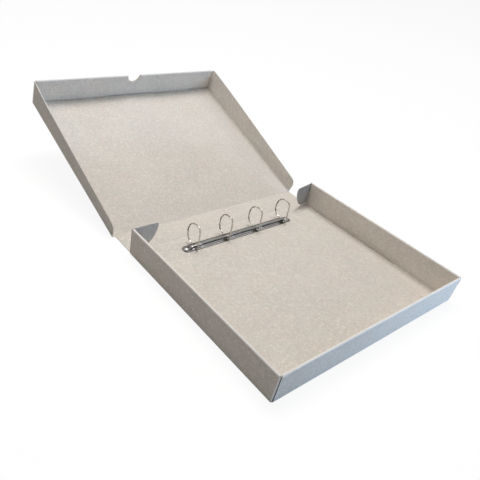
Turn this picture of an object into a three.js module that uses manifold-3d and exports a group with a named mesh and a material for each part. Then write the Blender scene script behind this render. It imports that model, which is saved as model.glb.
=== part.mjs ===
// Box file: a one-piece folded board tray, spine and lid, with a four-ring steel mechanism riveted to its floor.
// Millimetres. X runs along the spine, Y from the front wall to the spine, Z up.
// The origin is the middle of the tray's underside.
import * as THREE from 'three';
import { mergeVertices } from 'three/addons/utils/BufferGeometryUtils.js';
import Module from 'manifold-3d';

const wasm = await Module();
wasm.setup();

// Driving dimensions: the folded board
const board = 1.5;
const tray_length = 480;
const tray_depth = 387.5;
const tray_height = 55.5;
const spine_width = 58.5;
const spine_inset = 2.0;
const lid_side_clearance = 2.5;
const lid_front_clearance = 0.8;
const lid_front_height = 55;
const lid_rear_height = 29.5;
const lid_corner_radius = 14;
const lid_rear_lean = THREE.MathUtils.degToRad(4.5);
const lid_open_angle = THREE.MathUtils.degToRad(18.6);
const thumb_notch_width = 34;
const thumb_notch_depth = 18;
const crease_gap = 0.3;

// Driving dimensions: corners, locking tabs and dust flaps
const corner_slot = 3.2;
const roll_end_gap = 0.5;
const front_corner_radius = 5;
const corner_tab_length = 50;
const side_tab_from_fold = 35;
const side_tab_length = 218;
const front_tab_length = 120;
const front_tab_spacing = 240;
const slot_play = 6;
const slot_side_play = 0.8;
const lid_inner_foot_gap = 1.0;
const flap_radius = 56.5;
const flap_tip_radius = 4;
const flap_bottom = 3.5;
const flap_top_drop = 0.5;
const right_flap_lean = THREE.MathUtils.degToRad(9.5);
const flap_inward_limit = THREE.MathUtils.degToRad(20);

// Driving dimensions: the ring mechanism
const mechanism_from_fold = 37.2;
const ring_count = 4;
const ring_pitch = 80;
const ring_to_end = 25;
const wire_radius = 1.4;
const ring_front = 12.6;
const ring_rear = 23.6;
const ring_top = 52.2;
const housing_half_width = 10;
const housing_height = 6.5;
const housing_wall = 0.8;
const housing_dome = 7;
const housing_end_past_ring = 2;
const rim_radius = 1.1;
const lobe_thick = 1.0;
const rivet_from_end = 8.5;
const rivet_shank_radius = 2.0;
const rivet_head_radius = 4.5;
const rivet_head_height = 2.2;
const rivet_tail_radius = 3.5;
const rivet_tail_thick = 0.5;
const washer_radius = 6;
const washer_thick = 0.5;
const blade_thick = 1.0;
const blade_lift = 0.9;
const blade_middle_gap = 0.4;
const rim_seat_gap = 0.4;
const fit_clearance = 0.2;
const front_foot = 5.6;
const rear_foot = 3.4;
const ring_slot_play = 0.8;
const half_ring_gap = 0.3;

// Worked out from them: the board
const half_length = tray_length / 2;
const front_face = -tray_depth / 2;
const fold_line = tray_depth / 2;
const wall_thick = 3 * board;
const crease_radius = board / 2;
const crease_reach = crease_radius + crease_gap;
const flap_line = fold_line - crease_radius - crease_gap - board / 2;
const flap_top = tray_height - flap_top_drop;
const outer_layer_end = flap_line - crease_reach;
const flap_swing = (wall_thick - crease_radius) * Math.tan(flap_inward_limit);
const inner_layer_end = outer_layer_end - flap_swing;
const lid_half_length = half_length + lid_side_clearance + board;
const lid_depth = tray_depth + lid_front_clearance + wall_thick;

// Worked out from them: the mechanism
const floor_top = board;
const mechanism_line = fold_line - mechanism_from_fold;
const first_ring = (-ring_pitch * (ring_count - 1)) / 2;
const mechanism_end = ring_to_end - first_ring;
const housing_end = -first_ring + housing_end_past_ring;
const rivet_place = mechanism_end - rivet_from_end;
const rim_place = housing_half_width - rim_radius / 3;
const blade_edge = rim_place - rim_radius - rim_seat_gap;
const blade_under = floor_top + blade_lift;
const blade_top = blade_under + blade_thick;

// Fineness of the rounded stretches
const fold_steps = 5;
const arch_steps = 14;
const round_sides = 24;
const wire_sides = 8;
const wire_steps = 48;
const corner_steps = 4;
const lean_steps = 10;

const board_material = new THREE.MeshStandardMaterial({ color: 0xcfc6ba, roughness: 0.9, metalness: 0 });
const steel_material = new THREE.MeshStandardMaterial({ color: 0xb9bab8, roughness: 0.25, metalness: 1 });

// A closed geometry as a solid that can be joined and cut
function solid(geometry) {
  const bare = geometry.clone();
  bare.deleteAttribute('normal');
  bare.deleteAttribute('uv');
  const merged = mergeVertices(bare, 1e-4);
  const vertProperties = new Float32Array(merged.attributes.position.array);
  const triVerts = new Uint32Array(merged.index.array);
  return new wasm.Manifold(new wasm.Mesh({ numProp: 3, vertProperties, triVerts }));
}

function joined(solids) {
  return solids.reduce((whole, next) => whole.add(next));
}

// A solid as a named mesh of the model
function piece(name, shape, material) {
  const mesh = shape.getMesh();
  const geometry = new THREE.BufferGeometry();
  geometry.setAttribute('position', new THREE.BufferAttribute(new Float32Array(mesh.vertProperties), 3));
  geometry.setIndex(new THREE.BufferAttribute(new Uint32Array(mesh.triVerts), 1));
  geometry.computeVertexNormals();
  const made = new THREE.Mesh(geometry, material);
  made.name = name;
  return made;
}

// Points of an arc about a centre, from one angle to another
function arc(centre_a, centre_b, radius, from, to, steps = fold_steps) {
  const points = [];
  for (let i = 0; i <= steps; i += 1) {
    const angle = from + ((to - from) * i) / steps;
    points.push([centre_a + radius * Math.cos(angle), centre_b + radius * Math.sin(angle)]);
  }
  return points;
}

function outline(points) {
  return new THREE.Shape(points.map(([a, b]) => new THREE.Vector2(a, b)));
}

const axis_x = new THREE.Vector3(1, 0, 0);
const axis_y = new THREE.Vector3(0, 1, 0);
const axis_z = new THREE.Vector3(0, 0, 1);

// A straight bar whose section has (y, z) points, from one x to another
function barAlongX(points, from, to) {
  const geometry = new THREE.ExtrudeGeometry(outline(points), { depth: to - from, bevelEnabled: false });
  geometry.applyMatrix4(new THREE.Matrix4().makeBasis(axis_y, axis_z, axis_x));
  return solid(geometry.translate(from, 0, 0));
}

// A straight bar whose section has (x, z) points, from one y to another
function barAlongY(points, from, to) {
  const geometry = new THREE.ExtrudeGeometry(outline(points), { depth: to - from, bevelEnabled: false });
  geometry.applyMatrix4(new THREE.Matrix4().makeBasis(axis_x, axis_z, axis_y.clone().negate()));
  return solid(geometry.translate(0, to, 0));
}

// A plate whose outline has (x, y) points, from one z to another
function plate(points, from, to) {
  const geometry = new THREE.ExtrudeGeometry(outline(points), { depth: to - from, bevelEnabled: false });
  return solid(geometry.translate(0, 0, from));
}

function block([x0, x1], [y0, y1], [z0, z1]) {
  const geometry = new THREE.BoxGeometry(x1 - x0, y1 - y0, z1 - z0);
  return solid(geometry.translate((x0 + x1) / 2, (y0 + y1) / 2, (z0 + z1) / 2));
}

function pegAlongZ(x, y, radius, from, to) {
  const geometry = new THREE.CylinderGeometry(radius, radius, to - from, round_sides);
  return solid(geometry.rotateX(Math.PI / 2).translate(x, y, (from + to) / 2));
}

function rodAlongX(y, z, radius, half) {
  const geometry = new THREE.CylinderGeometry(radius, radius, 2 * half, round_sides / 2);
  return solid(geometry.rotateZ(Math.PI / 2).translate(0, y, z));
}

// Section of a rolled-over wall: up the outside, over the top fold and down the inside to its foot.
// The first number of a point counts inwards from the outer face, the second up from the underside.
function rolledSection(height, foot) {
  const roll = wall_thick / 2;
  const centre = height - roll;
  return [
    ...arc(board, board, board, -Math.PI / 2, -Math.PI),
    ...arc(roll, centre, roll, Math.PI, 0, 2 * fold_steps),
    [wall_thick, foot],
    [wall_thick - board, foot],
    ...arc(roll, centre, roll - board, 0, Math.PI, 2 * fold_steps),
  ];
}

// A rolled front wall. Its ends stand back from the corners, and its top corners are rounded.
// face is its outer face, inward is 1 or -1 along Y, and under is the height of its underside.
function rolledFront({ half, face, inward, under, height, foot }) {
  const end = half - corner_slot;
  const section = rolledSection(height, foot).map(([v, z]) => [face + inward * v, under + z]);
  const wall = barAlongX(section, -end, end);
  const radius = front_corner_radius;
  const past = [face - inward * board, face + inward * 2 * wall_thick].sort((a, b) => a - b);
  const rounded = [
    [-end, under - board],
    [end, under - board],
    ...arc(end - radius, under + height - radius, radius, 0, Math.PI / 2),
    ...arc(radius - end, under + height - radius, radius, Math.PI / 2, Math.PI),
  ];
  const roll_start = half - wall_thick - roll_end_gap;
  const behind = [face + inward * board, past[inward > 0 ? 1 : 0]].sort((a, b) => a - b);
  const heights = [under - board, under + height + board];
  return wall
    .intersect(barAlongY(rounded, past[0], past[1]))
    .subtract(block([-half, -roll_start], behind, heights))
    .subtract(block([roll_start, half], behind, heights));
}

// A side wall's outer layer turns the corner and ends as a tab between the front wall's two layers
function cornerTab({ side, half, face, inward, from, to }) {
  const plan = [
    ...arc(board, 2 * board, board, Math.PI, 1.5 * Math.PI),
    [corner_tab_length, board],
    [corner_tab_length, 2 * board],
    [board, 2 * board],
  ];
  return plate(plan.map(([u, v]) => [side * (half - u), face + inward * v]), from, to);
}

function trayShell() {
  const side_tab = [fold_line - side_tab_from_fold - side_tab_length, fold_line - side_tab_from_fold];
  const side_slot = [side_tab[0] - slot_play, side_tab[1] + slot_play];
  const front_inner = [front_face + 2 * board, front_face + wall_thick];
  const through = [-board, floor_top];
  const roll_centre = tray_height - wall_thick / 2;

  let floor = block(
    [board - half_length, half_length - board],
    [front_face + board, fold_line - crease_reach],
    [0, floor_top],
  );
  const parts = [
    rolledFront({
      half: half_length, face: front_face, inward: 1, under: 0, height: tray_height, foot: floor_top,
    }),
  ];
  for (const side of [-1, 1]) {
    const across = (u0, u1) => [side * (half_length - u0), side * (half_length - u1)].sort((a, b) => a - b);
    const section = rolledSection(tray_height, floor_top).map(([u, z]) => [side * (half_length - u), z]);
    const wall = barAlongY(section, front_face + 2 * board, outer_layer_end)
      .subtract(block(across(board, 2 * wall_thick), [inner_layer_end, fold_line], [floor_top, 2 * tray_height]));
    parts.push(wall);
    parts.push(cornerTab({
      side, half: half_length, face: front_face, inward: 1, from: board / 2, to: roll_centre,
    }));
    const slot_width = across(2 * board - fit_clearance, wall_thick + slot_side_play);
    floor = floor.subtract(block(slot_width, side_slot, through));
    parts.push(block(across(2 * board, wall_thick), side_tab, [0, 2 * floor_top]));

    const middle = (side * front_tab_spacing) / 2;
    const front_tab = [middle - front_tab_length / 2, middle + front_tab_length / 2];
    const front_slot = [front_tab[0] - slot_play, front_tab[1] + slot_play];
    const slot_depth = [front_inner[0] - fit_clearance, front_inner[1] + slot_side_play];
    floor = floor.subtract(block(front_slot, slot_depth, through));
    parts.push(block(front_tab, front_inner, [0, 2 * floor_top]));

    const recess = washer_thick + rivet_tail_thick;
    floor = floor
      .subtract(pegAlongZ(side * rivet_place, mechanism_line, washer_radius + fit_clearance, -board, recess))
      .subtract(pegAlongZ(
        side * rivet_place, mechanism_line, rivet_shank_radius + fit_clearance, -board, 2 * floor_top,
      ));
  }
  return joined([floor, ...parts]);
}

// A flat panel with one half-round edge on its crease line, from the crease to its far edge
function creasedSection(crease, far, middle) {
  return [
    ...arc(crease, middle, crease_radius, Math.PI / 2, 1.5 * Math.PI, 2 * fold_steps),
    [far, middle - board / 2],
    [far, middle + board / 2],
  ];
}

function spinePanel() {
  const half = half_length - spine_inset;
  return barAlongX(creasedSection(fold_line, fold_line + spine_width - crease_reach, board / 2), -half, half);
}

// One side wall of the lid, seen from its crease: lower towards the spine, with a rounded end,
// and leaning outwards more and more away from the front wall
function lidSideWall(side) {
  const start = crease_radius + crease_gap;
  const end = lid_depth - 2 * board;
  const stations = [];
  for (let i = 0; i < corner_steps; i += 1) {
    stations.push(start + lid_corner_radius * (1 - Math.cos((Math.PI / 2) * (i / corner_steps))));
  }
  for (let i = 0; i <= lean_steps; i += 1) {
    const share = Math.sin((Math.PI / 2) * (i / lean_steps));
    stations.push(THREE.MathUtils.lerp(start + lid_corner_radius, end, share));
  }
  const top = (s) => {
    const straight = THREE.MathUtils.lerp(lid_rear_height, lid_front_height, s / lid_depth);
    const into = Math.max(0, start + lid_corner_radius - s);
    const drop = lid_corner_radius - Math.sqrt(lid_corner_radius ** 2 - into ** 2);
    return straight - drop;
  };
  const lean = (s) => lid_rear_lean * (1 - (s / end) ** 6);
  const geometry = new THREE.BoxGeometry(1, 1, 1, 1, stations.length - 1, 1);
  const place = geometry.attributes.position;
  for (let i = 0; i < place.count; i += 1) {
    const depth = board * (0.5 - side * place.getX(i));
    const s = stations[Math.round((place.getY(i) + 0.5) * (stations.length - 1))];
    const height = (place.getZ(i) + 0.5) * top(s);
    const across = lid_half_length - depth * Math.cos(lean(s)) + height * Math.sin(lean(s));
    const up = height * Math.cos(lean(s)) + depth * Math.sin(lean(s)) - board / 2;
    place.setXYZ(i, side * across, s, up);
  }
  return solid(geometry);
}

// The lid in its own frame: the crease line is the origin, Y runs along the panel and Z to its inside
function lidShell() {
  const under = -board / 2;
  const panel_half = lid_half_length - board / 2;
  let panel = barAlongX(creasedSection(0, lid_depth - board, 0), -panel_half, panel_half);
  const parts = [
    rolledFront({
      half: lid_half_length,
      face: lid_depth,
      inward: -1,
      under,
      height: lid_front_height,
      foot: board + lid_inner_foot_gap,
    }),
  ];
  const inner = [lid_depth - wall_thick, lid_depth - 2 * board];
  for (const side of [-1, 1]) {
    parts.push(lidSideWall(side));
    parts.push(cornerTab({
      side,
      half: lid_half_length,
      face: lid_depth,
      inward: -1,
      from: under + board / 2,
      to: under + lid_front_height - wall_thick / 2,
    }));
    const middle = (side * front_tab_spacing) / 2;
    const tab = [middle - front_tab_length / 2, middle + front_tab_length / 2];
    panel = panel.subtract(block(tab, [inner[0] - slot_side_play, inner[1]], [-board, board]));
    parts.push(block(tab, inner, [under, board + lid_inner_foot_gap]));
  }
  const notch = [];
  for (let i = 0; i <= 2 * arch_steps; i += 1) {
    const angle = (Math.PI * i) / arch_steps;
    const edge = under + lid_front_height;
    notch.push([(thumb_notch_width / 2) * Math.cos(angle), edge + thumb_notch_depth * Math.sin(angle)]);
  }
  notch.pop();
  return joined([panel, ...parts]).subtract(barAlongY(notch, lid_depth - 2 * wall_thick, lid_depth + board));
}

// A dust flap in its own frame: the crease is the Z axis, and the flap runs along X
function cornerFlap() {
  const foot = Math.sqrt(flap_radius ** 2 - (flap_top - flap_bottom) ** 2);
  const start = Math.asin((flap_top - flap_bottom) / flap_radius);
  const tip = Math.asin(flap_tip_radius / (flap_radius - flap_tip_radius));
  const tip_reach = (flap_radius - flap_tip_radius) * Math.cos(tip);
  const shape = [
    [0, flap_bottom],
    ...arc(0, flap_top, flap_radius, -start, -tip, 2 * fold_steps),
    ...arc(tip_reach, flap_top - flap_tip_radius, flap_tip_radius, -tip, Math.PI / 2).slice(1),
    [0, flap_top],
  ];
  shape[1][0] = foot;
  const sheet = barAlongY(shape, -board / 2, board / 2);
  return sheet.add(pegAlongZ(0, 0, crease_radius, flap_bottom, flap_top));
}

// Half of an ellipse arch about the mechanism's line, closed below its springing
function archSection(half_width, height, below) {
  const points = [];
  for (let i = 0; i <= arch_steps; i += 1) {
    const angle = (Math.PI * i) / arch_steps;
    points.push([mechanism_line + half_width * Math.cos(angle), floor_top + height * Math.sin(angle)]);
  }
  if (below > 0) {
    points.push([mechanism_line - half_width, floor_top - below]);
    points.push([mechanism_line + half_width, floor_top - below]);
  }
  return points;
}

function archWithDomes(shrink, below) {
  const half_width = housing_half_width - shrink;
  const height = housing_height - shrink;
  const arch = barAlongX(archSection(half_width, height, below), -housing_end, housing_end);
  const domes = [-1, 1].map((side) => {
    const dome = new THREE.SphereGeometry(1, round_sides, arch_steps);
    dome.rotateX(Math.PI / 2).scale(housing_dome - shrink, half_width, height);
    return solid(dome.translate(side * housing_end, mechanism_line, floor_top));
  });
  return joined([arch, ...domes]);
}

function ringPlaces() {
  return Array.from({ length: ring_count }, (_, i) => first_ring + i * ring_pitch);
}

function ringHousing() {
  const far = 2 * mechanism_end;
  const beneath = block([-far, far], [mechanism_line - far, mechanism_line + far], [-far, floor_top]);
  let housing = archWithDomes(0, 0).subtract(archWithDomes(housing_wall, board)).subtract(beneath);
  for (const side of [-1, 1]) {
    const tip = mechanism_end - housing_half_width;
    const base = housing_end + housing_dome / 2;
    const lobe = [
      [base, -housing_half_width],
      ...arc(tip, 0, housing_half_width, -Math.PI / 2, Math.PI / 2, arch_steps),
      [base, housing_half_width],
    ].map(([x, y]) => [side * x, mechanism_line + y]);
    housing = housing.add(plate(lobe, floor_top, floor_top + lobe_thick));
    housing = housing.add(rodAlongX(mechanism_line + side * rim_place, floor_top + rim_radius, rim_radius, housing_end));
  }
  for (const side of [-1, 1]) {
    const hole = rivet_shank_radius + fit_clearance;
    housing = housing.subtract(pegAlongZ(side * rivet_place, mechanism_line, hole, 0, 2 * housing_height));
  }
  const half_slot = wire_radius + ring_slot_play;
  const above = floor_top + 2 * housing_height;
  for (const x of ringPlaces()) {
    const across = [x - half_slot, x + half_slot];
    const front = [mechanism_line - ring_front, mechanism_line - front_foot + half_slot];
    const rear = [mechanism_line + rear_foot - half_slot, mechanism_line + blade_edge];
    housing = housing
      .subtract(block(across, front, [floor_top + rim_radius / 2, above]))
      .subtract(block(across, rear, [blade_top + fit_clearance, above]));
  }
  return housing;
}

function rivet() {
  const seat = floor_top + lobe_thick;
  const cap = (rivet_head_radius ** 2 + rivet_head_height ** 2) / (2 * rivet_head_height);
  const half_angle = Math.asin(rivet_head_radius / cap);
  const profile = [
    [0, 0],
    [rivet_tail_radius, 0],
    [rivet_tail_radius, rivet_tail_thick],
    [rivet_shank_radius, rivet_tail_thick],
    [rivet_shank_radius, seat],
    ...arc(0, seat + rivet_head_height - cap, cap, Math.PI / 2 - half_angle, Math.PI / 2),
  ];
  profile[profile.length - 1][0] = 0;
  const points = profile.map(([r, z]) => new THREE.Vector2(r, z));
  return solid(new THREE.LatheGeometry(points, round_sides).rotateX(Math.PI / 2));
}

function rivetWasher() {
  const under = rivet_tail_thick;
  const over = rivet_tail_thick + washer_thick;
  const bore = rivet_shank_radius + fit_clearance;
  return pegAlongZ(0, 0, washer_radius, under, over).subtract(pegAlongZ(0, 0, bore, under - 1, over + 1));
}

// A blade hinges on its outer edge in the housing's rolled rim. end is 1 at the rear and -1 at the front.
function blade(end, foot) {
  const across = [(end * blade_middle_gap) / 2, end * blade_edge].sort((a, b) => a - b);
  const reach = housing_end - housing_wall;
  let shape = block(
    [-reach, reach],
    across.map((y) => mechanism_line + y),
    [blade_under, blade_top],
  );
  for (const x of ringPlaces()) {
    const hole = wire_radius + fit_clearance;
    shape = shape.subtract(pegAlongZ(x, mechanism_line + end * foot, hole, 0, 2 * blade_top));
  }
  return shape;
}

// The whole D ring's centre line in (y, z) about the mechanism's line, from the front blade round to the rear one
const ring_path = new THREE.CatmullRomCurve3(
  [
    [-front_foot, blade_under],
    [-front_foot, blade_top],
    [-front_foot - 0.2, blade_top + 1.0],
    [-front_foot - 1.8, blade_top + 2.0],
    [-ring_front + 3.1, blade_top + 2.0],
    [-ring_front + 1.0, blade_top + 2.9],
    [-ring_front, blade_top + 5.5],
    [-ring_front + 0.3, ring_top * 0.45],
    [-ring_front + 1.1, ring_top - 8.0],
    [-ring_front + 2.7, ring_top - 3.2],
    [-ring_front + 6.2, ring_top - 0.7],
    [-ring_front + 11.0, ring_top],
    [ring_rear * 0.42, ring_top - 1.3],
    [ring_rear * 0.76, ring_top - 7.2],
    [ring_rear * 0.97, ring_top - 17.5],
    [ring_rear, ring_top - 27],
    [ring_rear - 1.6, ring_top - 34.7],
    [ring_rear - 4.6, ring_top - 40.0],
    [ring_rear * 0.6, blade_top + 6.4],
    [ring_rear * 0.38, blade_top + 5.1],
    [rear_foot + 2.4, blade_top + 4.8],
    [rear_foot + 0.5, blade_top + 3.4],
    [rear_foot, blade_top + 1.6],
    [rear_foot, blade_top],
    [rear_foot, blade_under],
  ].map(([y, z]) => new THREE.Vector3(0, mechanism_line + y, z)),
  false,
  'centripetal',
);
const ring_joint = 10.1 / 24;

// A stretch of the ring's centre line between two shares of its points, stepped point by point,
// so that the tight bends get as many steps as the long legs
class RingStretch extends THREE.Curve {
  constructor(from, to) {
    super();
    this.from = from;
    this.to = to;
  }

  getPoint(t, target = new THREE.Vector3()) {
    return ring_path.getPoint(THREE.MathUtils.lerp(this.from, this.to, t), target);
  }

  getPointAt(u, target) {
    return this.getPoint(u, target);
  }

  getTangentAt(u, target) {
    return this.getTangent(u, target);
  }
}

function halfRing(x, from, to) {
  const section = outline(arc(0, 0, wire_radius, 0, 2 * Math.PI, wire_sides).slice(0, -1));
  const steps = Math.round(wire_steps * (to - from));
  const wire = new THREE.ExtrudeGeometry(section, { steps, extrudePath: new RingStretch(from, to) });
  return solid(wire.translate(x, 0, 0));
}

const box_file = new THREE.Group();
box_file.name = 'box_file';

box_file.add(piece('tray_shell', trayShell(), board_material));
box_file.add(piece('spine_panel', spinePanel(), board_material));

const lid = piece('lid_shell', lidShell(), board_material);
lid.position.set(0, fold_line + spine_width, board / 2);
lid.rotation.x = lid_open_angle;
box_file.add(lid);

const left_flap = piece('left_corner_flap', cornerFlap(), board_material);
left_flap.position.set(crease_radius - half_length, flap_line, 0);
box_file.add(left_flap);

const right_flap = piece('right_corner_flap', cornerFlap(), board_material);
right_flap.position.set(half_length - crease_radius, flap_line, 0);
right_flap.rotation.z = Math.PI + right_flap_lean;
box_file.add(right_flap);

box_file.add(piece('ring_housing', ringHousing(), steel_material));
for (const [word, side] of [['left', -1], ['right', 1]]) {
  const made = piece(`${word}_rivet`, rivet(), steel_material);
  made.position.set(side * rivet_place, mechanism_line, 0);
  box_file.add(made);
  const washer = piece(`${word}_rivet_washer`, rivetWasher(), steel_material);
  washer.position.set(side * rivet_place, mechanism_line, 0);
  box_file.add(washer);
}

box_file.add(piece('front_blade', blade(-1, front_foot), steel_material));
box_file.add(piece('rear_blade', blade(1, rear_foot), steel_material));
const half_gap = half_ring_gap / 2 / ring_path.getLength();
ringPlaces().forEach((x, i) => {
  box_file.add(piece(`front_half_ring_${i + 1}`, halfRing(x, 0, ring_joint - half_gap), steel_material));
  box_file.add(piece(`rear_half_ring_${i + 1}`, halfRing(x, ring_joint + half_gap, 1), steel_material));
});

export default box_file;
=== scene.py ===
"""Box file: folded mottled board with a nickel-plated four-ring mechanism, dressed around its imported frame."""

import math

import bmesh
import bpy
from mathutils import Matrix, Vector


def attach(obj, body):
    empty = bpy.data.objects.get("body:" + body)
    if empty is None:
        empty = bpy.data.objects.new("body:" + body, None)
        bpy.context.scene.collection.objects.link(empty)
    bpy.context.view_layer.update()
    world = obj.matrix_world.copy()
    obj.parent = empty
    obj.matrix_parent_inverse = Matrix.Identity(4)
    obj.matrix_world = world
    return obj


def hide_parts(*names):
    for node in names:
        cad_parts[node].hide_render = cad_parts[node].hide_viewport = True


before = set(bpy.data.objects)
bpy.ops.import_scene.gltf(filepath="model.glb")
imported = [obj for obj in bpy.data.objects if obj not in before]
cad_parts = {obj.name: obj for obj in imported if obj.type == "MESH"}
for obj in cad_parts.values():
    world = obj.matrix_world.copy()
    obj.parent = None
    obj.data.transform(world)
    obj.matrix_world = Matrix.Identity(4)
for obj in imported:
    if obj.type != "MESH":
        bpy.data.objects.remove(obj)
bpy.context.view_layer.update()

MM = 0.001
scene = bpy.context.scene

# Sizes that the source names too, in millimetres and radians
BOARD = 1.5
HALF_LENGTH = 240.0
FOLD_LINE = 193.75
SPINE_WIDTH = 58.5
LID_ANGLE = math.radians(18.6)
FLAP_HINGE = (239.25, 191.95)
MECHANISM_LINE = 156.55
RING_PLACES = (-120.0, -40.0, 40.0, 120.0)
WIRE_RADIUS = 1.4
RIVET_PLACE = 136.5
SEAT = 2.5

# Fine detail that is only here, in millimetres
CREASE_WIDTH = 1.7
BOARD_ROUNDING = 0.22
STEEL_ROUNDING = 0.12
WIRE_ROUNDING = 0.25
CHANNEL_WALL = 0.65

# Meshes: how near two points are one, and how sharp an edge is before it is shaded or rounded
SAME_POINT = 1e-6
ON_PLANE = 1e-7
FLAT_UNDER = math.radians(0.6)
SMOOTH_UNDER = math.radians(35)
BOARD_SHARP = math.radians(40)
STEEL_SHARP = math.radians(50)
BEVEL_STEPS = 2


# Shader expressions: a socket that can be added, multiplied and mixed
class Wire:
    def __init__(self, finish, socket):
        self.finish = finish
        self.socket = socket

    def _math(self, operation, other, swap=False):
        first, second = (other, self) if swap else (self, other)
        return self.finish.node("ShaderNodeMath", {"operation": operation}, {0: first, 1: second}).out()

    def __add__(self, other):
        return self._math("ADD", other)

    def __radd__(self, other):
        return self._math("ADD", other, True)

    def __sub__(self, other):
        return self._math("SUBTRACT", other)

    def __rsub__(self, other):
        return self._math("SUBTRACT", other, True)

    def __mul__(self, other):
        return self._math("MULTIPLY", other)

    def __rmul__(self, other):
        return self._math("MULTIPLY", other, True)

    def __truediv__(self, other):
        return self._math("DIVIDE", other)

    def at_most(self, other):
        return self._math("MINIMUM", other)

    def at_least(self, other):
        return self._math("MAXIMUM", other)

    def distance(self):
        return self.finish.node("ShaderNodeMath", {"operation": "ABSOLUTE"}, {0: self}).out()

    def ramp(self, low, high):
        settings = {"interpolation_type": "SMOOTHSTEP", "clamp": True}
        sockets = {"Value": self, "From Min": low, "From Max": high, "To Min": 0.0, "To Max": 1.0}
        return self.finish.node("ShaderNodeMapRange", settings, sockets).out()


# A node that is in place, and the way to its outputs
class Made:
    def __init__(self, finish, node):
        self.finish = finish
        self.node = node

    def out(self, name=0):
        return Wire(self.finish, self.node.outputs[name])


# One material and the nodes in it
class Finish:
    def __init__(self, name):
        self.material = bpy.data.materials.new(name)
        self.material.use_nodes = True
        self.tree = self.material.node_tree
        self.tree.nodes.clear()

    def node(self, kind, settings=None, sockets=None):
        made = self.tree.nodes.new(kind)
        for name, value in (settings or {}).items():
            setattr(made, name, value)
        for name, value in (sockets or {}).items():
            self.feed(made.inputs[name], value)
        return Made(self, made)

    def feed(self, socket, value):
        if isinstance(value, Wire):
            self.tree.links.new(value.socket, socket)
        elif isinstance(value, (int, float)) and hasattr(socket.default_value, "__len__"):
            socket.default_value = [value] * len(socket.default_value)
        elif isinstance(value, tuple) and len(value) == 3 and len(socket.default_value) == 4:
            socket.default_value = (*value, 1.0)
        else:
            socket.default_value = value

    def places(self):
        return self.node("ShaderNodeTexCoord").out("Object")

    def apart(self, vector):
        made = self.node("ShaderNodeSeparateXYZ", None, {0: vector})
        return made.out("X"), made.out("Y"), made.out("Z")

    def stretched(self, vector, scale):
        settings = {"operation": "MULTIPLY"}
        return self.node("ShaderNodeVectorMath", settings, {0: vector, 1: scale}).out()

    # The scale counts the noise's cells in a metre
    def noise(self, vector, scale, detail=3.0, roughness=0.55, distortion=0.0):
        sockets = {"Vector": vector, "Scale": scale, "Detail": detail, "Roughness": roughness,
                   "Distortion": distortion}
        return self.node("ShaderNodeTexNoise", None, sockets).out(0)

    def mix(self, share, first, second):
        settings = {"data_type": "RGBA", "blend_type": "MIX", "clamp_factor": True}
        made = self.node("ShaderNodeMix", settings)
        self.feed(made.node.inputs[0], share)
        self.feed(made.node.inputs[6], first)
        self.feed(made.node.inputs[7], second)
        return made.out(2)

    def bump(self, height, depth, strength, under=None):
        sockets = {"Height": height, "Distance": depth, "Strength": strength}
        if under is not None:
            sockets["Normal"] = under
        return self.node("ShaderNodeBump", None, sockets).out()

    def surface(self, sockets):
        shader = self.node("ShaderNodeBsdfPrincipled", None, sockets)
        output = self.tree.nodes.new("ShaderNodeOutputMaterial")
        self.tree.links.new(shader.node.outputs[0], output.inputs[0])
        return self.material


# The board's colour, and the tones of its layers against it
BOARD_COLOUR = (0.655, 0.612, 0.555)
PINK_CAST = (1.014, 0.986, 0.978)
SAGE_CAST = (0.982, 1.0, 0.988)
# Tones against the board's colour; the last is the painted shade of the floor's fold crease
BRIGHT, PALE, DULL, DARK, CREASE_SHADE_TONE = 1.28, 1.17, 0.90, 0.70, 0.60
RUBBED = (0.87, 0.84, 0.80)
# Painted shade for the gaps at the tray's front corners and for the creases beside the flaps' hinges
PAINTED_GAP_SHADE = (0.10, 0.095, 0.09)
# How far in front of the fold the painted highlight of the ridge runs, in millimetres
RIDGE_HIGHLIGHT_OFFSET = 1.7


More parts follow.
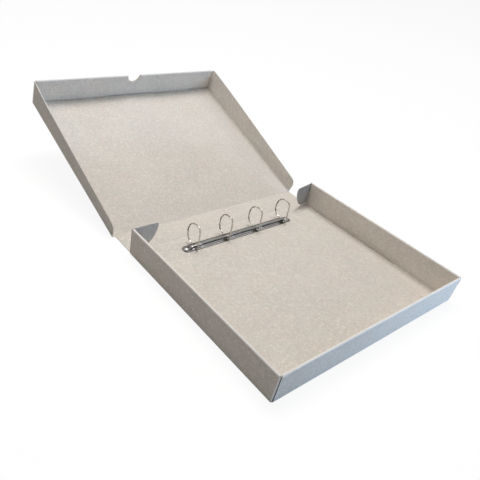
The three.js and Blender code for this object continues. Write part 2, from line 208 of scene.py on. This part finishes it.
# Mottled board: fine pale specks over soft pink and green-grey clouds, a fibrous nap and a few stray
# darker fibres
def board_finish(name, base=BOARD_COLOUR):
    def toned(level):
        return tuple(min(1.0, value * level) for value in base)

    def cast(tint):
        return tuple(value * share for value, share in zip(base, tint))

    f = Finish(name)
    place = f.places()
    cloud = f.noise(place, 16.0)
    hue = f.noise(place, 27.0, detail=2.0, roughness=0.5, distortion=0.8)
    specks = f.noise(place, 165.0, roughness=0.62, distortion=0.5)
    flecks = f.noise(place, 290.0, detail=2.0, roughness=0.5, distortion=0.9)
    grains = f.noise(place, 420.0, roughness=0.6)
    nap = f.noise(place, 1300.0, detail=4.0, roughness=0.7)
    drawn = f.stretched(place, (1.0, 3.2, 1.0))
    fibres = f.noise(drawn, 480.0, detail=2.0, roughness=0.5, distortion=1.4)

    # Each layer: its noise, where it starts and where it is full, its strength and its tone
    colour = f.mix(hue.ramp(0.38, 0.62), cast(SAGE_CAST), cast(PINK_CAST))
    layers = (
        (cloud, 0.35, 0.70, 0.30, PALE),
        (specks, 0.53, 0.66, 0.95, PALE),
        (specks, 0.47, 0.34, 0.60, DULL),
        (grains, 0.55, 0.70, 0.35, DULL),
        (flecks, 0.56, 0.64, 0.60, BRIGHT),
        (nap, 0.30, 0.70, 0.15, DULL),
        (fibres, 0.66, 0.74, 0.25, DARK),
    )
    for noise, start, full, strength, level in layers:
        colour = f.mix(noise.ramp(start, full) * strength, colour, toned(level))

    # The fold line on the floor: painted shade in the crease, and a painted highlight along the ridge in front
    # of it
    _, way_y, way_z = f.apart(place)
    on_floor = (way_z / MM).ramp(2.6, 1.9)
    past_fold = way_y / MM - FOLD_LINE
    ridge_highlight = (past_fold + RIDGE_HIGHLIGHT_OFFSET).distance().ramp(1.0, 0.3) * on_floor
    colour = f.mix(ridge_highlight * 0.45, colour, toned(BRIGHT))
    fold_crease_shade = past_fold.distance().ramp(1.5, 0.5) * on_floor
    colour = f.mix(fold_crease_shade * 0.45, colour, toned(CREASE_SHADE_TONE))

    # Marked faces: rubbed fold tops above zero; below zero, painted shade in the front corners' gaps and in the
    # creases beside the flaps' hinges
    worn = f.node("ShaderNodeAttribute", {"attribute_name": "worn"}).out("Fac")
    colour = f.mix(worn * (0.75 + specks * 0.2), colour, RUBBED)
    colour = f.mix((worn * -0.80).at_least(0.0), colour, PAINTED_GAP_SHADE)

    rough = 0.84 + (nap - 0.5) * 0.16
    relief = f.bump(nap, 0.10 * MM, 0.35)
    relief = f.bump(specks, 0.15 * MM, 0.25, relief)
    return f.surface({"Base Color": colour, "Roughness": rough, "Specular IOR Level": 0.25, "Normal": relief})


# The raw edge of the board, where the knife shows its layers
def cut_edge_finish():
    f = Finish("board_cut_edge")
    place = f.places()
    layers = f.noise(place, 1500.0, roughness=0.7)
    wide = f.noise(place, 70.0, detail=2.0)
    colour = f.mix(layers.ramp(0.35, 0.70), (0.66, 0.61, 0.55), (0.50, 0.455, 0.40))
    colour = f.mix(wide.ramp(0.40, 0.70) * 0.4, colour, (0.72, 0.68, 0.62))
    relief = f.bump(layers, 0.15 * MM, 0.5)
    return f.surface({"Base Color": colour, "Roughness": 0.92, "Specular IOR Level": 0.2, "Normal": relief})


# Tarnish specks, and the colours of the wires' painted glints and of the painted shade between them
TARNISH = (0.20, 0.19, 0.17)
GLINT = (0.74, 0.71, 0.68)
GLINT_SHADE = (0.13, 0.12, 0.11)


# Nickel plate: bright, with a faint drawn grain and soft finger marks. Painted reflections and painted shade run
# along the mechanism in light and dark bands, and the wires get painted glints and painted shade in short
# dashes.
def nickel_finish(name, tone, rough, along=(1.0, 14.0, 14.0), painted_reflections=(), glints=0.0):
    f = Finish(name)
    place = f.places()
    grain = f.noise(f.stretched(place, along), 260.0, roughness=0.6)
    marks = f.noise(place, 95.0, roughness=0.6, distortion=0.8)
    specks = f.noise(place, 1400.0, detail=2.0, roughness=0.6).ramp(0.66, 0.74)
    colour = f.mix(marks.ramp(0.40, 0.75) * 0.4, tone, tuple(value * 0.78 for value in tone))
    colour = f.mix(specks * 0.25, colour, TARNISH)
    # Painted glints and painted shade in short dashes along the wires
    if glints:
        dashes = f.noise(place, 210.0, detail=1.0, roughness=0.5, distortion=0.6)
        colour = f.mix(dashes.ramp(0.50, 0.58) * glints, colour, GLINT)
        colour = f.mix(dashes.ramp(0.46, 0.38) * glints, colour, GLINT_SHADE)
    gloss = rough + marks.ramp(0.35, 0.75) * 0.10 + (grain - 0.5) * 0.06
    across = (f.apart(place)[1] - MECHANISM_LINE * MM) / MM
    uneven = 0.75 + marks.ramp(0.30, 0.70) * 0.5
    # Painted reflections and painted shade in bands along the mechanism
    for middle, reach, strength, shade in painted_reflections:
        reflection_band = (across - middle).distance().ramp(reach, reach * 0.45)
        colour = f.mix(reflection_band * strength * uneven, colour, shade)
    relief = f.bump(grain, 0.04 * MM, 0.25)
    return f.surface({"Base Color": colour, "Metallic": 1.0, "Roughness": gloss, "Normal": relief})


# Painted reflections and painted shade, as light and dark bands: their middle across the mechanism from its
# line, half width, strength and colour
CHANNEL_PAINTED_REFLECTIONS = (
    (-10.0, 0.9, 0.70, (0.46, 0.46, 0.455)),
    (-8.4, 0.7, 0.90, (0.04, 0.04, 0.045)),
    (-7.1, 0.7, 0.60, (0.40, 0.40, 0.395)),
    (-4.9, 1.9, 0.95, (0.028, 0.028, 0.032)),
    (-1.6, 1.3, 0.50, (0.34, 0.335, 0.325)),
    (1.3, 0.7, 0.70, (0.58, 0.565, 0.54)),
    (3.8, 1.5, 0.85, (0.055, 0.048, 0.042)),
    (9.2, 0.8, 0.70, (0.16, 0.15, 0.14)),
)
WIRE_PAINTED_REFLECTIONS = (
    (-12.6, 1.8, 0.85, (0.62, 0.59, 0.56)),
    (-5.0, 1.6, 0.60, (0.60, 0.58, 0.55)),
    (13.0, 1.5, 0.60, (0.62, 0.60, 0.57)),
    (21.5, 0.9, 0.50, (0.12, 0.11, 0.10)),
)

mottled_board = board_finish("mottled_board")
# The flaps' board with painted shade: the same board, darker and cooler, the right flap darkest
shaded_flap_boards = {
    "left": board_finish("left_flap_shaded_board", (0.58, 0.605, 0.63)),
    "right": board_finish("right_flap_shaded_board", (0.455, 0.47, 0.485)),
}
cut_edge = cut_edge_finish()
nickel = nickel_finish("nickel_plate", (0.50, 0.495, 0.48), 0.20)
# The channel's tone, far darker than the plate's, is a painted dark reflection of its surroundings
nickel_channel = nickel_finish("nickel_channel", (0.21, 0.205, 0.198), 0.17, painted_reflections=CHANNEL_PAINTED_REFLECTIONS)
nickel_wire = nickel_finish("nickel_wire", (0.33, 0.31, 0.285), 0.22, along=(4.0, 4.0, 4.0),
                            painted_reflections=WIRE_PAINTED_REFLECTIONS, glints=0.75)


# Turns a bmesh into the piece that stands for a node, in metres, with its origin at the frame's
def piece(name, work, materials, body, node):
    mesh = bpy.data.meshes.new(name)
    work.to_mesh(mesh)
    work.free()
    made = bpy.data.objects.new(name, mesh)
    scene.collection.objects.link(made)
    for material in materials:
        mesh.materials.append(material)
    mesh.shade_smooth()
    mesh.set_sharp_from_angle(angle=SMOOTH_UNDER)
    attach(made, body)
    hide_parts(node)
    return made


# A merged copy of a frame node's mesh, with its flat faces made whole
def copy_of(node):
    work = bmesh.new()
    work.from_mesh(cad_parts[node].data)
    bmesh.ops.remove_doubles(work, verts=work.verts, dist=SAME_POINT)
    bmesh.ops.dissolve_limit(work, angle_limit=FLAT_UNDER, verts=work.verts, edges=work.edges)
    return work


# New edges where a plane cuts the mesh, with nothing taken away
def cut_across(work, place, way):
    geom = list(work.verts) + list(work.edges) + list(work.faces)
    bmesh.ops.bisect_plane(work, geom=geom, dist=ON_PLANE, plane_co=place, plane_no=way)


# The gap at the tray's front corners, between the side wall and the front wall: millimetres in from the end
GAP_FROM, GAP_TO = 1.4, 4.5
# A narrow face is up to this wide, in millimetres. It is cut if more than the first share of its outline is
# sharp, and a fold's top if less than the second is.
NARROW = 1.7 * BOARD
CUT_SHARE, FOLD_SHARE = 0.9, 0.5


# Rounds the sharp edges of a folded sheet. First its narrow faces are sorted: a cut face gets the raw-edge
# material, and a fold's top is marked as rubbed. In the front corners' gaps they are marked for painted shade
# instead.
def soften(work, width, sharp):
    def turned(edge):
        return len(edge.link_faces) == 2 and edge.calc_face_angle(0.0) > sharp

    def in_corner_gap(face):
        middle = face.calc_center_median() / MM
        across = HALF_LENGTH - abs(middle.x)
        return GAP_FROM < across < GAP_TO and middle.y < BOARD - FOLD_LINE and abs(face.normal.z) < 0.5

    worn = work.faces.layers.float.new("worn")
    for face in work.faces:
        length = face.calc_perimeter()
        free = sum(edge.calc_length() for edge in face.edges if turned(edge))
        narrow = 2 * face.calc_area() / length < NARROW * MM
        face.material_index = 1 if narrow and free > CUT_SHARE * length else 0
        face[worn] = 1.0 if narrow and free < FOLD_SHARE * length else 0.0
        # Painted shade in the front corners' gaps
        if narrow and in_corner_gap(face):
            face.material_index = 0
            face[worn] = -1.0
    edges = [edge for edge in work.edges if turned(edge)]
    bmesh.ops.bevel(work, geom=edges, offset=width * MM, offset_type="OFFSET", affect="EDGES",
                    segments=BEVEL_STEPS, profile=0.5, material=-1, clamp_overlap=True)


# The scored crease beside a flap's hinge, which gets painted shade
def mark_crease(work, hinge):
    middle = sum((vert.co for vert in work.verts), Vector()) / len(work.verts)
    away = (middle - hinge).to_2d().normalized().to_3d()
    cut_across(work, hinge + away * CREASE_WIDTH * MM, away)
    worn = work.faces.layers.float["worn"]
    for face in work.faces:
        if (face.calc_center_median() - hinge).dot(away) < CREASE_WIDTH * MM:
            face[worn] = -1.0


# A piece of the folded sheet, from its node's own shape
def board_piece(name, node, body, finish, shape=None, hinge=None):
    work = copy_of(node)
    if shape:
        shape(work)
    soften(work, BOARD_ROUNDING, BOARD_SHARP)
    if hinge:
        mark_crease(work, hinge)
    return piece(name, work, [finish, cut_edge], body, node)


# The lid's own directions: along its panel from the crease, and up from the panel's middle
LID_CREASE = Vector((0, FOLD_LINE + SPINE_WIDTH, BOARD / 2)) * MM
ALONG = Vector((0, math.cos(LID_ANGLE), math.sin(LID_ANGLE)))
INSIDE = Vector((0, -math.sin(LID_ANGLE), math.cos(LID_ANGLE)))
# The foot of its rolled-in front panel: from where to where along the lid, how high, and how near that counts
FOOT_FROM, FOOT_TO, FOOT_HEIGHT, FOOT_NEAR = 388.2, 389.9, 1.75, 0.1
# Slow waves: the height that they stand off, two heights of wave and the lengths that they take
FOOT_STAND, BIG_WAVE, SMALL_WAVE, BIG_LENGTH, SMALL_LENGTH = 0.55, 0.35, 0.25, 31.0, 13.0
CENTIMETRE = 0.01


# The foot of the lid's rolled-in panel stands a little off the lid in slow waves
def wave_lid_foot(work):
    for k in range(-23, 24):
        cut_across(work, (k * CENTIMETRE, 0, 0), (1, 0, 0))
    for vert in work.verts:
        place = vert.co - LID_CREASE
        along, up = place.dot(ALONG) / MM, place.dot(INSIDE) / MM
        if FOOT_FROM < along < FOOT_TO and abs(up - FOOT_HEIGHT) < FOOT_NEAR:
            x = vert.co.x / MM
            big = BIG_WAVE * math.sin(x / BIG_LENGTH + 1.0)
            small = SMALL_WAVE * math.sin(x / SMALL_LENGTH)
            vert.co += INSIDE * (FOOT_STAND + big + small) * MM


board_piece("folded_tray", "tray_shell", "tray", mottled_board)
board_piece("spine_strip", "spine_panel", "spine", mottled_board)
board_piece("hinged_lid", "lid_shell", "lid", mottled_board, shape=wave_lid_foot)
for word, side in (("left", -1), ("right", 1)):
    hinge = Vector((side * FLAP_HINGE[0], FLAP_HINGE[1], 0)) * MM
    board_piece(f"{word}_dust_flap", f"{word}_corner_flap", f"{word}_flap", shaded_flap_boards[word], hinge=hinge)


# A blade of the mechanism, from its node's own shape
def blade_piece(name, node, body):
    work = copy_of(node)
    soften(work, STEEL_ROUNDING, STEEL_SHARP)
    for face in work.faces:
        face.material_index = 0
    return piece(name, work, [nickel], body, node)


blade_piece("front_strip", "front_blade", "front_rings")
blade_piece("rear_strip", "rear_blade", "rear_rings")

# The pressed channel, in millimetres: rolled rims, a flat shoulder on each side and a crowned middle. Half
# of its section is the rim's arc and then these points (across, up).
RIM_CENTRE, RIM_TOP, RIM_RADIUS = 9.63, 2.6, 1.1
RIM_TURN = range(-50, -251, -25)
CROWN = [
    (-9.55, 4.15),
    (-9.0, 4.55),
    (-7.7, 4.8),
    (-7.1, 5.1),
    (-6.6, 6.1),
    (-6.1, 6.5),
    (-5.2, 6.9),
    (-3.6, 7.45),
    (-1.8, 7.85),
    (0.0, 8.0),
]
# Along it: where the full section stops, how far its dome runs on, and the flat round lobe at its end
STRAIGHT = (0.0, 20.0, 60.0, 100.0, 122.0)
DOME, DOME_STEPS = 7.0, 7
LOBE_START, LOBE_RADIUS, LOBE_TOP, LOBE_STEPS, LOBE_TURN = 135.0, 10.0, 2.5, 9, math.radians(84)
# The openings for the rings' feet: half their length, the front one's edge, the rear one's edges, and the
# height where the front one starts
OPENING, FRONT_EDGE, REAR_EDGES, OPENING_FOOT = 2.2, -3.4, (1.2, 8.1), 2.05


def channel_profile():
    half = []
    for degrees in RIM_TURN:
        angle = math.radians(degrees)
        half.append((RIM_RADIUS * math.cos(angle) - RIM_CENTRE, RIM_TOP + RIM_RADIUS * math.sin(angle)))
    half += CROWN
    return half + [(-y, z) for y, z in reversed(half[:-1])]


# Places along the channel: x, how flat it is there and how wide, as a share of the full section
def channel_stations():
    half = [(x, 0.0, 1.0) for x in STRAIGHT]
    for k in range(1, DOME_STEPS + 1):
        angle = math.radians(90) * k / DOME_STEPS
        half.append((STRAIGHT[-1] + DOME * math.sin(angle), 1 - math.cos(angle), 1.0))
    half.append((LOBE_START, 1.0, 1.0))
    for k in range(1, LOBE_STEPS + 1):
        angle = LOBE_TURN * k / LOBE_STEPS
        half.append((LOBE_START + LOBE_RADIUS * math.sin(angle), 1.0, math.cos(angle)))
    return [(-x, flat, width) for x, flat, width in reversed(half[1:])] + half


# The edges' verts from the front rim to the rear rim
def in_order(edges, verts):
    ends = [vert for vert in verts if sum(vert in edge.verts for edge in edges) == 1]
    order, edge, seen = [min(ends, key=lambda vert: vert.co.y)], None, set()
    while len(order) < len(verts):
        edge = next(edge for edge in order[-1].link_edges if edge in edges and edge not in seen)
        seen.add(edge)
        order.append(edge.other_vert(order[-1]))
    return order


def in_opening(face):
    middle = face.calc_center_median() / MM
    across = middle.y - MECHANISM_LINE
    at_ring = min(abs(middle.x - x) for x in RING_PLACES) < OPENING
    in_front = across < FRONT_EDGE and middle.z > OPENING_FOOT
    behind = REAR_EDGES[0] < across < REAR_EDGES[1]
    return at_ring and (in_front or behind)


# The section is drawn out from station to station, cut along the openings' edges, and opened there
def channel_work():
    profile = channel_profile()
    last = len(profile) - 1

    def row(x, flat, width):
        places = []
        for i, (y, z) in enumerate(profile):
            level = LOBE_RADIUS * (2 * i / last - 1)
            across = (y + (level - y) * flat) * width
            places.append(Vector((x, MECHANISM_LINE + across, z + (LOBE_TOP - z) * flat)) * MM)
        return places

    stations = channel_stations()
    work = bmesh.new()
    verts = [work.verts.new(place) for place in row(*stations[0])]
    edges = [work.edges.new(pair) for pair in zip(verts, verts[1:])]
    for station in stations[1:]:
        made = bmesh.ops.extrude_edge_only(work, edges=edges)["geom"]
        fresh = {part for part in made if isinstance(part, bmesh.types.BMVert)}
        edges = [part for part in made if isinstance(part, bmesh.types.BMEdge) and set(part.verts) <= fresh]
        for vert, place in zip(in_order(edges, fresh), row(*station)):
            vert.co = place

    planes = [((x + side * OPENING, 0, 0), (1, 0, 0)) for x in RING_PLACES for side in (-1, 1)]
    planes += [((0, MECHANISM_LINE + y, 0), (0, 1, 0)) for y in (FRONT_EDGE, *REAR_EDGES)]
    planes.append(((0, 0, OPENING_FOOT), (0, 0, 1)))
    for place, way in planes:
        cut_across(work, Vector(place) * MM, way)
    bmesh.ops.delete(work, geom=[face for face in work.faces if in_opening(face)], context="FACES")
    crown = max(work.faces, key=lambda face: face.calc_center_median().z)
    if crown.normal.z < 0:
        bmesh.ops.reverse_faces(work, faces=work.faces)
    return work


channel = piece("ring_channel", channel_work(), [nickel_channel], "tray", "ring_housing")
wall = channel.modifiers.new("wall", "SOLIDIFY")
wall.thickness = CHANNEL_WALL * MM
wall.offset = -1.0
wall.use_even_offset = False

TURNED_SIDES = 48


# A turned part: its (radius, height) profile is spun about an upright line
def turned_work(x, y, profile):
    work = bmesh.new()
    verts = [work.verts.new((x + r * MM, y, z * MM)) for r, z in profile]
    edges = [work.edges.new(pair) for pair in zip(verts, verts[1:])]
    bmesh.ops.spin(work, geom=verts + edges, cent=(x, y, 0), axis=(0, 0, 1), dvec=(0, 0, 0),
                   angle=2 * math.pi, steps=TURNED_SIDES, use_merge=True, use_duplicate=False)
    bmesh.ops.remove_doubles(work, verts=work.verts, dist=SAME_POINT)
    bmesh.ops.recalc_face_normals(work, faces=work.faces)
    return work


# A rivet from its tail under the board up to its domed head, which stands on the lobe
def rivet_profile():
    rise, head, tail, shank = 2.2, 4.5, 3.5, 2.0
    tail_chamfer, tail_top, head_chamfer, head_edge, steps = 0.15, 0.5, 0.2, 0.12, 8
    curve = (head ** 2 + rise ** 2) / (2 * rise)
    reach = math.asin(head / curve)
    points = [
        (0, 0),
        (tail - tail_chamfer, 0),
        (tail, tail_chamfer),
        (tail, tail_top),
        (shank, tail_top),
        (shank, SEAT),
        (head - head_chamfer, SEAT),
        (head, SEAT + head_edge),
    ]
    for i in range(1, steps):
        turn = reach * (1 - i / steps)
        points.append((curve * math.sin(turn), SEAT + rise - curve + curve * math.cos(turn)))
    return points + [(0, SEAT + rise)]


# A flat washer with its rims rounded, let into the underside
def washer_profile():
    hole, outer, under, top, rim = 2.2, 6.0, 0.5, 1.0, 0.1
    return [
        (hole, under + rim),
        (hole + rim, under),
        (outer - rim, under),
        (outer, under + rim),
        (outer, top - rim),
        (outer - rim, top),
        (hole + rim, top),
        (hole, top - rim),
        (hole, under + rim),
    ]


for word, side in (("left", -1), ("right", 1)):
    spot = (side * RIVET_PLACE * MM, MECHANISM_LINE * MM)
    piece(f"{word}_dome_rivet", turned_work(*spot, rivet_profile()), [nickel], "tray", f"{word}_rivet")
    piece(f"{word}_washer", turned_work(*spot, washer_profile()), [nickel], "tray", f"{word}_rivet_washer")


# The ring's centre line, as (across, up) from the mechanism's line, which the source gives too
FRONT_FOOT, REAR_FOOT = 5.6, 3.4
RING_FRONT, RING_REAR, RING_TOP = 12.6, 23.6, 52.2
BLADE_UNDER, BLADE_TOP = 2.4, 3.4
RING_POINTS = [
    (-FRONT_FOOT, BLADE_UNDER),
    (-FRONT_FOOT, BLADE_TOP),
    (-FRONT_FOOT - 0.2, BLADE_TOP + 1.0),
    (-FRONT_FOOT - 1.8, BLADE_TOP + 2.0),
    (-RING_FRONT + 3.1, BLADE_TOP + 2.0),
    (-RING_FRONT + 1.0, BLADE_TOP + 2.9),
    (-RING_FRONT, BLADE_TOP + 5.5),
    (-RING_FRONT + 0.3, RING_TOP * 0.45),
    (-RING_FRONT + 1.1, RING_TOP - 8.0),
    (-RING_FRONT + 2.7, RING_TOP - 3.2),
    (-RING_FRONT + 6.2, RING_TOP - 0.7),
    (-RING_FRONT + 11.0, RING_TOP),
    (RING_REAR * 0.42, RING_TOP - 1.3),
    (RING_REAR * 0.76, RING_TOP - 7.2),
    (RING_REAR * 0.97, RING_TOP - 17.5),
    (RING_REAR, RING_TOP - 27),
    (RING_REAR - 1.6, RING_TOP - 34.7),
    (RING_REAR - 4.6, RING_TOP - 40.0),
    (RING_REAR * 0.6, BLADE_TOP + 6.4),
    (RING_REAR * 0.38, BLADE_TOP + 5.1),
    (REAR_FOOT + 2.4, BLADE_TOP + 4.8),
    (REAR_FOOT + 0.5, BLADE_TOP + 3.4),
    (REAR_FOOT, BLADE_TOP + 1.6),
    (REAR_FOOT, BLADE_TOP),
    (REAR_FOOT, BLADE_UNDER),
]
# Where the two halves meet, as a share of the line, and the joint's width in millimetres
RING_JOINT = 10.1 / 24
JOINT_WIDTH = 0.30
WIRE_SIDES = 16
FRONT_STEPS, REAR_STEPS = 60, 84
MEASURE_STEPS = 400


# A smooth curve through the points, with centripetal spacing
def ring_point(share):
    last = len(RING_POINTS) - 1
    place = min(max(share, 0.0), 1.0) * last
    start = min(int(place), last - 1)
    points = [Vector(RING_POINTS[min(max(start + k, 0), last)]) for k in (-1, 0, 1, 2)]
    if start == 0:
        points[0] = 2 * points[1] - points[2]
    if start == last - 1:
        points[3] = 2 * points[2] - points[1]
    steps = [max((b - a).length, 1e-6) ** 0.5 for a, b in zip(points, points[1:])]
    before = (points[1] - points[0]) / steps[0] - (points[2] - points[0]) / (steps[0] + steps[1])
    after = (points[2] - points[1]) / steps[1] - (points[3] - points[1]) / (steps[1] + steps[2])
    middle = (points[2] - points[1]) / steps[1]
    leave = (before + middle) * steps[1]
    arrive = (after + (points[3] - points[2]) / steps[2]) * steps[1]
    t = place - start
    spread = points[2] - points[1]
    bend = (3 * spread - 2 * leave - arrive) * t ** 2 + (leave + arrive - 2 * spread) * t ** 3
    return points[1] + leave * t + bend


# A length of wire along the ring's line: a circle is drawn out step by step, turned to face the way it goes
def wire_work(x, from_share, to_share, steps):
    line = [ring_point(from_share + (to_share - from_share) * i / steps) for i in range(steps + 1)]
    work = bmesh.new()
    centre = Vector((x, MECHANISM_LINE + line[0].x, line[0].y)) * MM
    ahead = line[1] - line[0]
    turn = math.atan2(ahead.y, ahead.x)
    facing = Matrix.Rotation(turn, 4, "X") @ Matrix.Rotation(-math.pi / 2, 4, "X")
    bmesh.ops.create_circle(work, cap_ends=False, radius=WIRE_RADIUS * MM, segments=WIRE_SIDES,
                            matrix=Matrix.Translation(centre) @ facing)
    ring = list(work.edges)
    for i in range(1, steps + 1):
        made = bmesh.ops.extrude_edge_only(work, edges=ring)["geom"]
        verts = [part for part in made if isinstance(part, bmesh.types.BMVert)]
        edges = [part for part in made if isinstance(part, bmesh.types.BMEdge)]
        ring = [edge for edge in edges if not edge.is_wire and edge.is_boundary]
        place = Vector((x, MECHANISM_LINE + line[i].x, line[i].y)) * MM
        way = line[min(i + 1, steps)] - line[i - 1]
        heading = math.atan2(way.y, way.x)
        bmesh.ops.rotate(work, verts=verts, cent=centre, matrix=Matrix.Rotation(heading - turn, 3, "X"))
        bmesh.ops.translate(work, verts=verts, vec=place - centre)
        centre, turn = place, heading
    bmesh.ops.holes_fill(work, edges=[edge for edge in work.edges if edge.is_boundary], sides=0)
    bmesh.ops.recalc_face_normals(work, faces=work.faces)
    caps = [face for face in work.faces if len(face.verts) == WIRE_SIDES]
    rims = list({edge for face in caps for edge in face.edges})
    bmesh.ops.bevel(work, geom=rims, offset=WIRE_ROUNDING * MM, offset_type="OFFSET", affect="EDGES",
                    segments=BEVEL_STEPS, profile=0.5, material=-1, clamp_overlap=True)
    return work


marks = [ring_point(i / MEASURE_STEPS) for i in range(MEASURE_STEPS + 1)]
length = sum((after - before).length for before, after in zip(marks, marks[1:]))
half_gap = JOINT_WIDTH / 2 / length
for i, x in enumerate(RING_PLACES, 1):
    front = wire_work(x, 0.0, RING_JOINT - half_gap, FRONT_STEPS)
    piece(f"front_ring_wire_{i}", front, [nickel_wire], "front_rings", f"front_half_ring_{i}")
    rear = wire_work(x, RING_JOINT + half_gap, 1.0, REAR_STEPS)
    piece(f"rear_ring_wire_{i}", rear, [nickel_wire], "rear_rings", f"rear_half_ring_{i}")

FLOOR_SIZE = 9.0
FLOOR_DROP = 0.0003
FLOOR_PAINT = (0.42, 0.42, 0.42)
WHITE = (1.0, 1.0, 1.0)
GLOW, GLOW_SHARE = 1.25, 0.72


# What is seen straight or in the metal, and not by the light that falls on the board
def seen_share(finish):
    path = finish.node("ShaderNodeLightPath")
    return (path.out("Is Camera Ray") + path.out("Is Glossy Ray")).at_most(1.0)


# The floor, which shows white to the camera and in the metal, and keeps the object's shadow
def floor_finish():
    f = Finish("studio_floor")
    paint = f.node("ShaderNodeBsdfDiffuse", None, {"Color": FLOOR_PAINT})
    glow = f.node("ShaderNodeEmission", None, {"Color": WHITE, "Strength": GLOW})
    share = seen_share(f) * GLOW_SHARE
    made = f.node("ShaderNodeMixShader", None, {0: share, 1: paint.out(), 2: glow.out()})
    output = f.tree.nodes.new("ShaderNodeOutputMaterial")
    f.tree.links.new(made.out().socket, output.inputs[0])
    return f.material


floor_work = bmesh.new()
bmesh.ops.create_grid(floor_work, x_segments=1, y_segments=1, size=FLOOR_SIZE)
floor_mesh = bpy.data.meshes.new("floor")
floor_work.to_mesh(floor_mesh)
floor_work.free()
floor = bpy.data.objects.new("floor", floor_mesh)
scene.collection.objects.link(floor)
floor_mesh.materials.append(floor_finish())
floor.location.z = -FLOOR_DROP


# The world's own nodes
class Sky(Finish):
    def __init__(self):
        world = bpy.data.worlds.new("studio")
        scene.world = world
        world.use_nodes = True
        self.tree = world.node_tree
        self.tree.nodes.clear()


# The world: dim and warm from behind, cool from the front, and white where it is looked at
BEHIND_TINT = (0.465, 0.435, 0.41)
FRONT_TINT = (0.28, 0.325, 0.385)
SKY_LEVEL = 0.8
sky = Sky()
way_x, way_y, way_z = sky.apart(sky.node("ShaderNodeTexCoord").out("Generated"))
ahead = (way_x * 0.45 - way_y * 0.85 + way_z * 0.25).ramp(-0.35, 0.95)
tint = sky.mix(ahead, BEHIND_TINT, FRONT_TINT)
soft = sky.node("ShaderNodeBackground", None, {"Color": tint, "Strength": SKY_LEVEL})
white = sky.node("ShaderNodeBackground", None, {"Color": WHITE, "Strength": 1.0})
chosen = sky.node("ShaderNodeMixShader", None, {0: seen_share(sky), 1: soft.out(), 2: white.out()})
sky.tree.links.new(chosen.out().socket, sky.tree.nodes.new("ShaderNodeOutputWorld").inputs[0])


# An oblong lamp that the camera doesn't see, in metres and watts
def lamp(name, place, aim, size, power, colour):
    data = bpy.data.lights.new(name, "AREA")
    data.shape = "RECTANGLE"
    data.size, data.size_y = size
    data.energy = power
    data.color = colour
    made = bpy.data.objects.new(name, data)
    made.location = place
    made.rotation_mode = "QUATERNION"
    made.rotation_quaternion = (Vector(aim) - Vector(place)).to_track_quat("-Z", "Y")
    made.visible_camera = False
    scene.collection.objects.link(made)


lamp("top_window", place=(1.0, 1.0, 3.9), aim=(0.0, 0.15, 0.05), size=(1.8, 1.2), power=75.0,
     colour=(1.0, 0.972, 0.94))
lamp("ceiling_panel", place=(-0.17, 0.47, 1.3), aim=(0.0, 0.35, 0.0), size=(0.25, 0.6), power=4.4,
     colour=(1.0, 0.98, 0.965))
lamp("low_front_door", place=(0.65, -1.2, 0.025), aim=(0.1, -0.19, 0.025), size=(0.8, 0.05), power=11.0,
     colour=(0.50, 0.71, 1.0))

# The photograph's camera, by its three directions and its place in metres
CAMERA_RIGHT = Vector((0.792304, -0.590908, 0.151930))
CAMERA_UP = Vector((0.269817, 0.562685, 0.781399))
CAMERA_BACK = Vector((-0.547224, -0.578112, 0.605255))
CAMERA_PLACE = Vector((-0.64153, -0.42741, 0.54159))
camera_data = bpy.data.cameras.new("camera")
camera_data.sensor_width = 36.0
camera_data.lens = 36.838
camera_data.shift_x = 0.08224
camera_data.shift_y = 0.06664
camera_data.clip_start = 0.05
camera_data.clip_end = 40.0
camera = bpy.data.objects.new("camera", camera_data)
scene.collection.objects.link(camera)
facing = Matrix((CAMERA_RIGHT, CAMERA_UP, CAMERA_BACK)).transposed().to_4x4()
camera.matrix_world = Matrix.Translation(CAMERA_PLACE) @ facing
scene.camera = camera

scene.view_settings.view_transform = "Standard"
